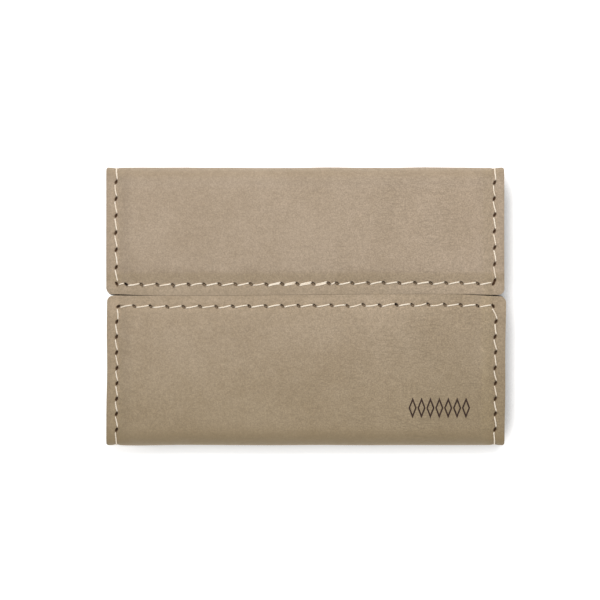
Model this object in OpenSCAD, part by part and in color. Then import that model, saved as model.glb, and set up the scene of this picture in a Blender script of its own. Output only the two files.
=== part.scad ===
// Two-piece pull-off card holder, lying on its back.
// The card body and the lid are two flat leather pouches that meet edge to edge.
// A stiff card sleeve is fixed inside the body, and the lid slides over it along Y.
// X runs across the width, Y towards the lid, Z up through the thickness.
// The origin is the middle of the back face, level with what it rests on.

/* [Holder] */
// Overall width of both pouches
holder_w = 100; // [98:0.5:110]
// Length of the closed holder, fold to fold
holder_l = 70; // [69:0.5:84]
// Thickness over the padded middle
holder_t = 8; // [7.6:0.1:10]
// Length of the lid, from its fold to its mouth
lid_l = 32; // [28:0.5:34]
// Gap between the two mouths when closed
mouth_gap = 0.2; // [0.1:0.05:0.5]
// Corner radius at the mouths, seen from the front
mouth_corner_r = 1.6; // [0.6:0.1:2.2]
// Corner radius at the folded ends, seen from the front
fold_corner_r = 0.9; // [0.3:0.1:1.5]

/* [Leather] */
// Thickness of the outer leather
leather_t = 1.1; // [0.9:0.05:1.2]
// Thickness of the padding under the outer leather
pad_t = 0.65; // [0.5:0.05:0.8]
// Width of the flat stitched border along each side
border_w = 3.4; // [3.3:0.1:4]
// Width of the slope from the side border up to the padded middle
side_slope_w = 3.2; // [3:0.1:3.6]
// Thickness of the strip inside each lid side seam
lid_spacer_t = 1.2; // [1:0.05:1.3]

/* [Card sleeve] */
// Width of the card space, for an 85.6 mm card
card_space_w = 86.4; // [86:0.1:87]
// Thickness of the sleeve's front and back walls
sleeve_wall_t = 0.5; // [0.4:0.05:0.6]
// Width of the sleeve's side strips and floor
sleeve_side_w = 0.8; // [0.6:0.1:0.8]
// How far the sleeve stands out of the body's mouth
sleeve_proud = 19.2; // [15:0.2:21]
// Radius of the thumb notch in the sleeve's mouth
thumb_r = 9; // [6:0.5:11]

/* [Stitching] */
// Distance from the side edges to the side seams
side_inset = 2.6; // [2.6:0.1:2.9]
// Distance from the lid's mouth to its seam
lid_mouth_inset = 2.6; // [2.6:0.1:3.2]
// Distance from the body's mouth to its seam
body_mouth_inset = 2.8; // [2.6:0.1:3.2]
// Width of the thread
thread_w = 0.5; // [0.4:0.05:0.6]
// Height that the thread stands above the leather
thread_h = 0.3; // [0.2:0.05:0.3]
// Stitches across the lid's mouth
lid_mouth_stitches = 24; // [20:1:26]
// Stitches across the body's mouth
body_mouth_stitches = 23; // [20:1:26]
// Stitches along each lid side
lid_side_stitches = 6; // [5:1:7]
// Stitches along each body side
body_side_stitches = 8; // [6:1:9]

/* [Hidden] */
$fn = 64;

// Colours
leather_colour = [0.69, 0.62, 0.54];
sleeve_colour = [0.47, 0.38, 0.30];
lining_colour = [0.60, 0.52, 0.43];
pad_colour = [0.88, 0.87, 0.84];
board_colour = [0.62, 0.56, 0.46];
thread_colour = [0.93, 0.86, 0.75];

// Places along the two main directions
half_w = holder_w / 2;
half_l = holder_l / 2;
mid_z = holder_t / 2;
lid_mouth_y = half_l - lid_l;
body_mouth_y = lid_mouth_y - mouth_gap;
fold_centre = half_l - mid_z;          // centre of each fold's bend, from the middle
border_x = half_w - border_w;          // inner edge of the flat stitched border
plateau_x = border_x - side_slope_w;   // outer edge of the padded middle

// Half-thicknesses, measured from the mid-plane outwards
lining_t = 0.25;
lid_clearance = 0.2;                   // sliding room between the sleeve and the lid's lining
outer_half = mid_z;
pad_outer_half = outer_half - leather_t;
pad_inner_half = pad_outer_half - pad_t;
lining_inner_half = pad_inner_half - lining_t;
sleeve_half = lining_inner_half - lid_clearance;
card_half = sleeve_half - sleeve_wall_t;
seam_outer_half = lid_spacer_t / 2 + lining_t + leather_t;
seam_inner_half = seam_outer_half - leather_t;
margin_half = pad_inner_half + leather_t; // outside of the unpadded leather at a mouth

// Lengths of the unpadded margins at the mouths, and of the slopes up from them
lid_pad_start = 6.3;                   // from the lid's mouth to its padding
body_pad_start = 8.8;                  // from the body's mouth to its padding
pad_side_gap = 0.1;                    // padding stays this far inside the plateau
board_side_gap = 0.2;                  // boards stay this far inside the leather's slope

// Sleeve
sleeve_half_w = card_space_w / 2 + sleeve_side_w;
sleeve_top_y = body_mouth_y + sleeve_proud;
sleeve_bottom_y = -half_l + 2.7;
sleeve_corner_r = 2;

// Stitching
seam_x = half_w - side_inset;
slit_w = thread_w + 0.1;
lid_seam_y = lid_mouth_y + lid_mouth_inset;
body_seam_y = body_mouth_y - body_mouth_inset;
lid_last_hole_y = half_l - 3.6;
body_last_hole_y = -half_l + 4;
spacer_gap = 0.2;                      // strips start this far outside the slope
end_gap = 0.05;                        // pieces that only nearly meet stay this far apart
beyond = 5;                            // cutters run this far past what they cut

// Where the leather's sloping inner face is this far from the mid-plane
function slope_x(half) =
    border_x - side_slope_w * (half - seam_inner_half) / (pad_outer_half - seam_inner_half);
function lid_hole_x(i) = -seam_x + i * 2 * seam_x / lid_mouth_stitches;
function body_hole_x(i) = -seam_x + i * 2 * seam_x / body_mouth_stitches;
function lid_hole_y(i) = lid_seam_y + i * (lid_last_hole_y - lid_seam_y) / lid_side_stitches;
function body_hole_y(i) = body_seam_y + i * (body_last_hole_y - body_seam_y) / body_side_stitches;
lid_mouth_holes = [for (i = [1:lid_mouth_stitches - 1]) lid_hole_x(i)];
body_mouth_holes = [for (i = [1:body_mouth_stitches - 1]) body_hole_x(i)];
lid_side_holes = [for (i = [0:lid_side_stitches]) lid_hole_y(i)];
body_side_holes = [for (i = [0:body_side_stitches]) body_hole_y(i)];

// ---- extrusions and outlines ----

// Runs a shape drawn in X and Z along Y
module along_y(from_y, to_y) {
    translate([0, to_y, 0]) rotate([90, 0, 0]) linear_extrude(to_y - from_y) children();
}

// Runs a shape drawn in Y and Z along X
module along_x(from_x, to_x) {
    translate([from_x, 0, 0]) rotate([90, 0, 90]) linear_extrude(to_x - from_x) children();
}

// Section of a pouch across its width: thin flat borders, slopes and a flat middle
module pouch_section(edge_x, edge_half, top_x, top_half) {
    translate([0, mid_z]) polygon([
        [-edge_x, -edge_half], [-border_x, -edge_half], [-top_x, -top_half],
        [top_x, -top_half], [border_x, -edge_half], [edge_x, -edge_half],
        [edge_x, edge_half], [border_x, edge_half], [top_x, top_half],
        [-top_x, top_half], [-border_x, edge_half], [-edge_x, edge_half]
    ]);
}

// Section of a pouch along its length, with a rounded fold at +Y and its mouth at mouth_y.
// It is margin_t half-thick as far as slope_y, then slopes up to full_t at the padding.
module pouch_side(mouth_y, slope_y, pad_y, margin_t, full_t) {
    translate([0, mid_z]) {
        polygon([
            [mouth_y, -margin_t], [slope_y, -margin_t], [pad_y, -full_t], [fold_centre, -full_t],
            [fold_centre, full_t], [pad_y, full_t], [slope_y, margin_t], [mouth_y, margin_t]
        ]);
        translate([fold_centre, 0]) circle(full_t);
    }
}

// The material outside a rounded corner that points towards +X and +Y
module corner_cutter(corner_x, corner_y, r) {
    translate([corner_x - r, corner_y - r, -beyond]) linear_extrude(holder_t + 2 * beyond) {
        difference() {
            square(r + beyond);
            circle(r);
        }
    }
}

// Rounds the four corners of an outline in plan, seen from the front
module round_corners(x, low_y, low_r, high_y, high_r) {
    difference() {
        children();
        for (side = [0, 1]) mirror([side, 0, 0]) {
            corner_cutter(x, high_y, high_r);
            mirror([0, 1, 0]) corner_cutter(x, -low_y, low_r);
        }
    }
}

// Square prisms through a pouch's side seams, where the thread passes
module side_slits(holes, size) {
    for (side = [-1, 1], y = holes) {
        translate([side * seam_x - size / 2, y - size / 2, -beyond])
            cube([size, size, holder_t + 2 * beyond]);
    }
}

// Square prisms through the front and back of a mouth, which leave the sleeve whole
module mouth_slits(holes, seam_y, size) {
    for (x = holes, low_z = [-beyond, mid_z + card_half]) {
        translate([x - size / 2, seam_y - size / 2, low_z])
            cube([size, size, beyond + mid_z - card_half]);
    }
}

// ---- pieces that both pouches have, for a pouch whose fold is at +Y ----

module folded_leather(mouth_y, seam_y, pad_y) {
    slope_y = seam_y + thread_w / 2;
    round_corners(half_w, mouth_y, mouth_corner_r, half_l, fold_corner_r) {
        difference() {
            intersection() {
                along_y(mouth_y, half_l)
                    pouch_section(half_w, seam_outer_half, plateau_x, outer_half);
                along_x(-half_w, half_w)
                    pouch_side(mouth_y, slope_y, pad_y, margin_half, outer_half);
            }
            intersection() {
                along_y(mouth_y - beyond, half_l)
                    pouch_section(half_w + beyond, seam_inner_half, plateau_x, pad_outer_half);
                along_x(-half_w - beyond, half_w + beyond)
                    pouch_side(mouth_y - beyond, slope_y, pad_y, pad_inner_half, pad_outer_half);
            }
        }
    }
}

// Flat sheet on one face: 1 for the front and -1 for the back
module face_sheet(face, half_x, low_y, high_y, inner_half, outer_half) {
    low_z = face > 0 ? mid_z + inner_half : mid_z - outer_half;
    translate([-half_x, low_y, low_z])
        cube([2 * half_x, high_y - low_y, outer_half - inner_half]);
}

// Strip between the two sides of a seam: 1 for the right and -1 for the left. It ends
// where it meets the inside of the fold, whose radius is bend_r.
module spacer_strip(side, mouth_y, half_t, bend_r, holes) {
    inner_x = border_x + spacer_gap;
    end_y = fold_centre + sqrt(bend_r * bend_r - half_t * half_t) - end_gap;
    difference() {
        translate([side > 0 ? inner_x : -half_w, mouth_y, mid_z - half_t])
            cube([half_w - inner_x, end_y - mouth_y, 2 * half_t]);
        side_slits(holes, slit_w);
        mirror([side > 0 ? 0 : 1, 0, 0])
            mirror([0, 1, 0]) corner_cutter(half_w, -mouth_y, mouth_corner_r);
    }
}

// Saddle-stitched side seam: runs on both faces, a leg in each hole and a turn over the fold
module side_thread(side, holes) {
    low_x = side * seam_x - thread_w / 2;
    first_y = holes[0];
    last_y = holes[len(holes) - 1];
    run_half = seam_outer_half + thread_h;
    for (face = [0, 1]) translate([0, 0, mid_z]) mirror([0, 0, face]) {
        translate([low_x, first_y - thread_w / 2, seam_outer_half])
            cube([thread_w, last_y - first_y + thread_w, thread_h]);
    }
    for (y = holes) {
        translate([low_x, y - thread_w / 2, mid_z - seam_outer_half])
            cube([thread_w, thread_w, 2 * seam_outer_half]);
    }
    along_x(low_x, low_x + thread_w) translate([0, mid_z]) difference() {
        intersection() {
            translate([last_y, -run_half]) square([2 * beyond, 2 * run_half]);
            translate([fold_centre, 0]) circle(outer_half + thread_h);
        }
        intersection() {
            translate([last_y - beyond, -seam_outer_half])
                square([3 * beyond, 2 * seam_outer_half]);
            translate([fold_centre, 0]) circle(outer_half);
        }
        translate([last_y - beyond, -seam_outer_half])
            square([fold_centre - last_y + beyond, 2 * seam_outer_half]);
    }
}

// Seam across one face of a mouth, over the slopes at both ends. The inner run lies sunk
// in a groove, so nothing stands out where the sleeve passes.
module mouth_thread(face, seam_y, holes, inner_run_t) {
    end_x = seam_x - thread_w / 2 - end_gap;
    top_x = slope_x(pad_inner_half);
    leg_span = margin_half - pad_inner_half + inner_run_t;
    translate([0, 0, mid_z]) mirror([0, 0, face > 0 ? 0 : 1]) {
        along_y(seam_y - thread_w / 2, seam_y + thread_w / 2) polygon([
            [-end_x, seam_outer_half], [-border_x, seam_outer_half], [-top_x, margin_half],
            [top_x, margin_half], [border_x, seam_outer_half], [end_x, seam_outer_half],
            [end_x, seam_outer_half + thread_h], [border_x, seam_outer_half + thread_h],
            [top_x, margin_half + thread_h], [-top_x, margin_half + thread_h],
            [-border_x, seam_outer_half + thread_h], [-end_x, seam_outer_half + thread_h]
        ]);
        for (x = holes) {
            translate([x - thread_w / 2, seam_y - thread_w / 2, margin_half - leg_span])
                cube([thread_w, thread_w, leg_span]);
        }
        translate([holes[0] - thread_w / 2, seam_y - thread_w / 2, pad_inner_half - inner_run_t])
            cube([holes[len(holes) - 1] - holes[0] + thread_w, thread_w, inner_run_t]);
    }
}

// Grooves, front and back, that take the inner runs of a mouth's seams
module inner_grooves(seam_y, holes, run_t) {
    for (face = [0, 1]) translate([0, 0, mid_z]) mirror([0, 0, face]) {
        translate([holes[0] - slit_w / 2, seam_y - slit_w / 2, pad_inner_half - run_t - end_gap])
            cube([holes[len(holes) - 1] - holes[0] + slit_w, slit_w, beyond]);
    }
}

// ---- lid ----

module lid_leather() {
    color(leather_colour) difference() {
        folded_leather(lid_mouth_y, lid_seam_y, lid_mouth_y + lid_pad_start);
        side_slits(lid_side_holes, slit_w);
        mouth_slits(lid_mouth_holes, lid_seam_y, slit_w);
    }
}

module lid_pad(face) {
    color(pad_colour)
        face_sheet(face, plateau_x - pad_side_gap, lid_mouth_y + lid_pad_start, fold_centre,
                   pad_inner_half, pad_outer_half);
}

module lid_lining() {
    outer_x = slope_x(pad_inner_half);
    color(lining_colour) difference() {
        intersection() {
            along_y(lid_mouth_y, half_l)
                pouch_section(half_w, seam_inner_half, outer_x, pad_inner_half);
            along_x(-half_w, half_w)
                pouch_side(lid_mouth_y, lid_seam_y, lid_seam_y + 1, pad_inner_half, pad_inner_half);
        }
        intersection() {
            along_y(lid_mouth_y - beyond, half_l)
                pouch_section(half_w + beyond, lid_spacer_t / 2, outer_x, lining_inner_half);
            along_x(-half_w - beyond, half_w + beyond)
                pouch_side(lid_mouth_y - beyond, lid_seam_y, lid_seam_y + 1,
                           lining_inner_half, lining_inner_half);
        }
        side_slits(lid_side_holes, slit_w);
        inner_grooves(lid_seam_y, lid_mouth_holes, lining_t);
        for (side = [0, 1]) mirror([side, 0, 0])
            mirror([0, 1, 0]) corner_cutter(half_w, -lid_mouth_y, mouth_corner_r);
    }
}

module lid_spacer(side) {
    color(leather_colour)
        spacer_strip(side, lid_mouth_y, lid_spacer_t / 2, lining_inner_half, lid_side_holes);
}

module lid_side_thread(side) {
    color(thread_colour) side_thread(side, lid_side_holes);
}

module lid_mouth_thread(face) {
    color(thread_colour) mouth_thread(face, lid_seam_y, lid_mouth_holes, lining_t);
}

// ---- body: the same pouch turned end for end, with boards in place of a lining ----

module turned() {
    mirror([0, 1, 0]) children();
}

// Body places seen from its own fold, for modules drawn with the fold at +Y
turned_mouth_y = -body_mouth_y;
turned_seam_y = -body_seam_y;
turned_side_holes = [for (y = body_side_holes) -y];

module body_leather() {
    color(leather_colour) difference() {
        turned() folded_leather(turned_mouth_y, turned_seam_y, turned_mouth_y + body_pad_start);
        side_slits(body_side_holes, slit_w);
        mouth_slits(body_mouth_holes, body_seam_y, slit_w);
    }
}

module body_pad(face) {
    color(pad_colour)
        face_sheet(face, plateau_x - pad_side_gap, -fold_centre, body_mouth_y - body_pad_start,
                   pad_inner_half, pad_outer_half);
}

module body_board(face) {
    color(board_colour) difference() {
        face_sheet(face, slope_x(pad_inner_half) - board_side_gap, -fold_centre, body_mouth_y,
                   sleeve_half, pad_inner_half);
        inner_grooves(body_seam_y, body_mouth_holes, thread_h);
    }
}

module body_spacer(side) {
    color(leather_colour)
        turned() spacer_strip(side, turned_mouth_y, seam_inner_half, pad_outer_half,
                              turned_side_holes);
}

module body_side_thread(side) {
    color(thread_colour) turned() side_thread(side, turned_side_holes);
}

module body_mouth_thread(face) {
    color(thread_colour) mouth_thread(face, body_seam_y, body_mouth_holes, thread_h);
}

// ---- card sleeve, fixed in the body ----

module sleeve_outline(low_half, high_half) {
    round_corners(sleeve_half_w, sleeve_bottom_y, sleeve_corner_r, sleeve_top_y, sleeve_corner_r)
        face_sheet(1, sleeve_half_w, sleeve_bottom_y, sleeve_top_y, low_half, high_half);
}

module sleeve_wall(face) {
    color(sleeve_colour) difference() {
        translate([0, 0, mid_z]) mirror([0, 0, face > 0 ? 0 : 1]) translate([0, 0, -mid_z])
            sleeve_outline(card_half, sleeve_half);
        translate([0, sleeve_top_y, -beyond]) cylinder(r = thumb_r, h = holder_t + 2 * beyond);
    }
}

module sleeve_side(side) {
    color(sleeve_colour) intersection() {
        sleeve_outline(-card_half, card_half);
        translate([side > 0 ? card_space_w / 2 : -sleeve_half_w, sleeve_bottom_y, 0])
            cube([sleeve_side_w, sleeve_top_y - sleeve_bottom_y, holder_t]);
    }
}

module sleeve_floor() {
    color(sleeve_colour)
        translate([-card_space_w / 2, sleeve_bottom_y, mid_z - card_half])
            cube([card_space_w, sleeve_side_w, 2 * card_half]);
}

// ---- assembly ----

body_leather();
body_pad(1);  // body_pad_front
body_pad(-1);  // body_pad_back
body_board(1);  // body_board_front
body_board(-1);  // body_board_back
body_spacer(-1);  // body_spacer_left
body_spacer(1);  // body_spacer_right
body_side_thread(-1);  // body_side_thread_left
body_side_thread(1);  // body_side_thread_right
body_mouth_thread(1);  // body_mouth_thread_front
body_mouth_thread(-1);  // body_mouth_thread_back
sleeve_wall(1);  // sleeve_front
sleeve_wall(-1);  // sleeve_back
sleeve_side(-1);  // sleeve_side_left
sleeve_side(1);  // sleeve_side_right
sleeve_floor();
lid_leather();
lid_pad(1);  // lid_pad_front
lid_pad(-1);  // lid_pad_back
lid_lining();
lid_spacer(-1);  // lid_spacer_left
lid_spacer(1);  // lid_spacer_right
lid_side_thread(-1);  // lid_side_thread_left
lid_side_thread(1);  // lid_side_thread_right
lid_mouth_thread(1);  // lid_mouth_thread_front
lid_mouth_thread(-1);  // lid_mouth_thread_back
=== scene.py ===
"""The looks of a two-piece leather card holder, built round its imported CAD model.

Lengths are in metres, in the CAD's frame: X across the width, Y from the body to the lid, Z up.
A pouch is a folded leather panel with a mouth at one end and its fold at the other. Places on
it are given by x and by q, the distance from its mouth towards its fold.
"""
import math

import bmesh
import bpy
import numpy as np
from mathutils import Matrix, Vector


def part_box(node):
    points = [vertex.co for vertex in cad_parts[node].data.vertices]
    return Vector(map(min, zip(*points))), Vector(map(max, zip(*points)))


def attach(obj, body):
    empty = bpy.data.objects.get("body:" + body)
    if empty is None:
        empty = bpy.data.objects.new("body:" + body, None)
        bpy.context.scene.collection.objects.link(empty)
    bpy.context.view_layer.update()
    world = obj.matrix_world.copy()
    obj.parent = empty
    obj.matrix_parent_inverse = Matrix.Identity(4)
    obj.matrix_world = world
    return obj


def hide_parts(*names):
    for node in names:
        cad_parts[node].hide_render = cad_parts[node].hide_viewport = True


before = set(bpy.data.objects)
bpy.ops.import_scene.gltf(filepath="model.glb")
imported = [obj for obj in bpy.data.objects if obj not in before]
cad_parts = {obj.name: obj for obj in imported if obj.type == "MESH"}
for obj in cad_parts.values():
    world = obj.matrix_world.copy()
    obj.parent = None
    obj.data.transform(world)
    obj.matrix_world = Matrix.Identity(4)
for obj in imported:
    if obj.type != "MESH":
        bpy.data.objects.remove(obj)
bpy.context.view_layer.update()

MM = 0.001
FRONT, FOLD, BACK = 0, 1, 2  # the three zones of a pouch's surface, in order round its girth


def span(node):
    """A CAD node's lowest and highest corners as two arrays."""
    low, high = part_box(node)
    return np.array(low), np.array(high)


# ---- sizes taken from the frame ----

lid_low, lid_high = span("lid_leather")
body_low, body_high = span("body_leather")
lid_pad_low, lid_pad_high = span("lid_pad_front")
seam_low, seam_high = span("lid_side_thread_right")
body_spacer_high = span("body_spacer_right")[1]
lid_row_low, lid_row_high = span("lid_mouth_thread_front")
body_row_low, body_row_high = span("body_mouth_thread_front")

HALF_W = lid_high[0]
MID_Z = (lid_low[2] + lid_high[2]) / 2
OUTER_HALF = lid_high[2] - MID_Z
PAD_INNER_HALF = lid_pad_low[2] - MID_Z
LEATHER_T = lid_high[2] - lid_pad_high[2]
THREAD_W = seam_high[0] - seam_low[0]
LINING_T = 0.25 * MM
SEAM_INNER_HALF = body_spacer_high[2] - MID_Z
SEAM_HALF = SEAM_INNER_HALF + LEATHER_T
SKIVE = 0.25 * MM  # how much thinner the leather is pared at its mouth
MARGIN_HALF = PAD_INNER_HALF + LEATHER_T - SKIVE
LID_LENGTH = lid_high[1] - lid_low[1]
BODY_LENGTH = body_high[1] - body_low[1]
LID_SEAM_Q = (lid_row_low[1] + lid_row_high[1]) / 2 - lid_low[1]
BODY_SEAM_Q = body_high[1] - (body_row_low[1] + body_row_high[1]) / 2

# ---- sizes of the visible detail ----

SEAM_X = 47.5 * MM  # side seams, from the middle
SLOPE_OUT_X = 46.9 * MM  # the side slope's lower edge
SLOPE_IN_X = 43.8 * MM  # and its upper edge
FOLD_REACH = 6 * MM  # how far from the end of a pouch its fold begins to show
MOUTH_CORNER_R = 1.6 * MM
EDGE_R = 0.05 * MM  # rounding of the cut edges
SLIT_HALF = 0.54 * MM  # half the length of a stitching hole
SLIT_WIDE = 0.30 * MM  # half its width
SLIT_DEPTH = 0.8 * MM
ROW_SLIT, SIDE_SLIT = -38, 66  # how the slits of a row and of a side seam slant, in degrees
DIMPLE = 0.10 * MM  # how far the leather sinks round a hole
DIMPLE_REACH = 0.8 * MM
SEAM_DIP = 0.07 * MM  # how far a seam pulls the leather down along its line
SEAM_REACH = 0.7 * MM
SWELL = 0.035 * MM  # height of the soft swells on a face
HOLE_WANDER = 0.05 * MM  # how far a hand-made hole strays
ROW_RISE = 0.1 * MM  # how far the middle of a row of holes lies above its left end
THREAD_R = 0.36 * THREAD_W
THREAD_LIFT = 0.6 * THREAD_R  # height of a stitch's middle above its bed
THREAD_END = 0.45 * MM  # how deep a stitch's ends lie in their holes
THREAD_BOW = 0.06 * MM  # how far a stitch strays from straight
EDGE_WAVE = 0.05 * MM  # unevenness of the cut edges
MOUTH_FULL = 0.085 * MM  # how far the padded middle of a mouth bulges out
MOUTH_SHORT = 0.07 * MM  # how far its ends fall short, in front
SPLIT_WAVE = 0.2 * MM  # how far the line between the mouths strays from straight
STRIP_IN = 0.06 * MM  # how far the side strips lie in from the leather's edge
LINING_IN = 0.3 * MM  # and the lining
LAYER_GAP = 0.03 * MM  # between one layer and the next


def smooth(low, high, value):
    """0 up to low, 1 from high on, and a smooth curve between; low may be above high."""
    t = np.clip((value - low) / (high - low), 0, 1)
    return t * t * (3 - 2 * t)


def ramp(low, high, value, soften):
    """0 up to low, 1 from high on, straight between, with corners rounded over soften."""
    width = high - low
    rise = np.sqrt((value - low) ** 2 + soften**2) - np.sqrt((value - high) ** 2 + soften**2)
    return 0.5 + rise / (2 * width)


def soft_min(a, b, width):
    """The lesser of a and b, blended over width where they cross."""
    close = np.maximum(width - np.abs(a - b), 0) / width
    return np.minimum(a, b) - close * close * width / 4


def unit(vectors):
    return vectors / np.maximum(np.linalg.norm(vectors, axis=-1, keepdims=True), 1e-12)


def ripples(u, v, shortest, longest, waves, seed):
    """A smooth random field of about unit height, from waves in random directions."""
    random = np.random.default_rng(seed)
    total = np.zeros(np.broadcast(u, v).shape)
    for _ in range(waves):
        angle, phase = random.uniform(0, 2 * math.pi, 2)
        length = random.uniform(shortest, longest)
        along = u * math.cos(angle) + v * math.sin(angle)
        total = total + np.sin(2 * math.pi * along / length + phase)
    return total / math.sqrt(waves / 2)


# ---- meshes ----


def mesh_object(name, points, faces, material, marks=None):
    """A smooth mesh object with outward normals. marks are named values, one for each point."""
    mesh = bpy.data.meshes.new(name)
    mesh.from_pydata([tuple(p) for p in points], [], faces)
    for mark, values in (marks or {}).items():
        mesh.attributes.new(mark, "FLOAT", "POINT").data.foreach_set(
            "value", np.asarray(values, np.float32)
        )
    work = bmesh.new()
    work.from_mesh(mesh)
    bmesh.ops.recalc_face_normals(work, faces=work.faces)
    work.to_mesh(mesh)
    work.free()
    mesh.shade_smooth()
    made = bpy.data.objects.new(name, mesh)
    bpy.context.scene.collection.objects.link(made)
    mesh.materials.append(material)
    return made


def grid_faces(ids):
    """The quads of a grid of point numbers."""
    corners = (ids[:-1, :-1], ids[:-1, 1:], ids[1:, 1:], ids[1:, :-1])
    return np.stack([c.ravel() for c in corners], axis=1).tolist()


def ring_faces(ids):
    """The quads of a stack of closed rings of point numbers, and a face at each end."""
    closed = np.concatenate([ids, ids[:, :1]], axis=1)
    return grid_faces(closed) + [ids[0, ::-1].tolist(), ids[-1].tolist()]


def border(rows, cols):
    """The row and column numbers round a grid's edge, in order."""
    across, down = np.arange(cols), np.arange(rows)
    row = np.concatenate([0 * across, down[1:], 0 * across[1:] + rows - 1, down[-2:0:-1]])
    col = np.concatenate([across, 0 * down[1:] + cols - 1, across[-2::-1], 0 * down[-2:0:-1]])
    return row, col


def nearest(kept, count):
    """For each of count lines, which of the kept ones is nearest."""
    return np.abs(np.arange(count)[:, None] - np.asarray(kept)[None, :]).argmin(axis=1)


def closed_sheet(name, outer, inner, bulge, material, rows_kept=None, cols_kept=None, marks=None):
    """A closed sheet from two grids of points, an outer face and an inner one, and a rim.
    The inner face may keep only some rows and columns. The rim bulges out by bulge."""
    rows, cols = outer.shape[:2]
    rows_kept, cols_kept = rows_kept or range(rows), cols_kept or range(cols)
    outer_ids = np.arange(rows * cols).reshape(rows, cols)
    faces = grid_faces(outer_ids)
    row, col = border(rows, cols)
    inside = outer[np.clip(row, 1, rows - 2), np.clip(col, 1, cols - 2)]
    outward = unit(outer[row, col] - inside)
    rim_points, last = [], outer_ids[row, col]
    first_id = rows * cols
    for share in (0.2, 0.5, 0.8):
        ring = outer[row, col] * (1 - share) + inner[row, col] * share
        rim_points.append(ring + outward * bulge * math.sin(math.pi * share))
        ids = first_id + np.arange(len(row))
        around = np.stack([last, ids, np.roll(ids, -1), np.roll(last, -1)], axis=1)
        faces += around.tolist()
        last, first_id = ids, first_id + len(row)
    inner_ids = first_id + np.arange(len(rows_kept) * len(cols_kept))
    inner_ids = inner_ids.reshape(len(rows_kept), len(cols_kept))
    faces += grid_faces(inner_ids)
    ends = inner_ids[nearest(rows_kept, rows)[row], nearest(cols_kept, cols)[col]]
    for a, b, near_a, near_b in zip(last, np.roll(last, -1), ends, np.roll(ends, -1)):
        faces.append([a, b, near_b] if near_a == near_b else [a, b, near_b, near_a])
    inner_points = inner[np.ix_(rows_kept, cols_kept)].reshape(-1, 3)
    points = np.concatenate([outer.reshape(-1, 3), *rim_points, inner_points])
    rim_end = len(points) - len(inner_points)
    part = np.repeat([0, 1, 2], [outer_ids.size, rim_end - outer_ids.size, len(inner_points)])
    values = {"rim": part == 1, "flesh": part == 2}
    for mark, value in (marks or {}).items():
        values[mark] = np.concatenate([value.ravel(), np.zeros(len(part) - value.size)])
    return mesh_object(name, points, faces, material, values)


def lines(low, high, fine_places, reach, fine, coarse):
    """Places from low to high: about fine apart within reach of a fine place, else coarse."""
    least = 0.02 * MM
    stops = [low, high]
    for place in fine_places:
        stops += [place - reach, place + reach]
    stops = sorted(s for s in stops if low <= s <= high)
    placed = [low]
    for a, b in zip(stops, stops[1:]):
        if b - a < least:
            continue
        middle = (a + b) / 2
        step = fine if any(abs(middle - p) <= reach for p in fine_places) else coarse
        count = max(1, math.ceil((b - a) / step))
        placed += [a + (b - a) * (i + 1) / count for i in range(count)]
    return np.array(placed)


# ---- pouches ----


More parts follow.
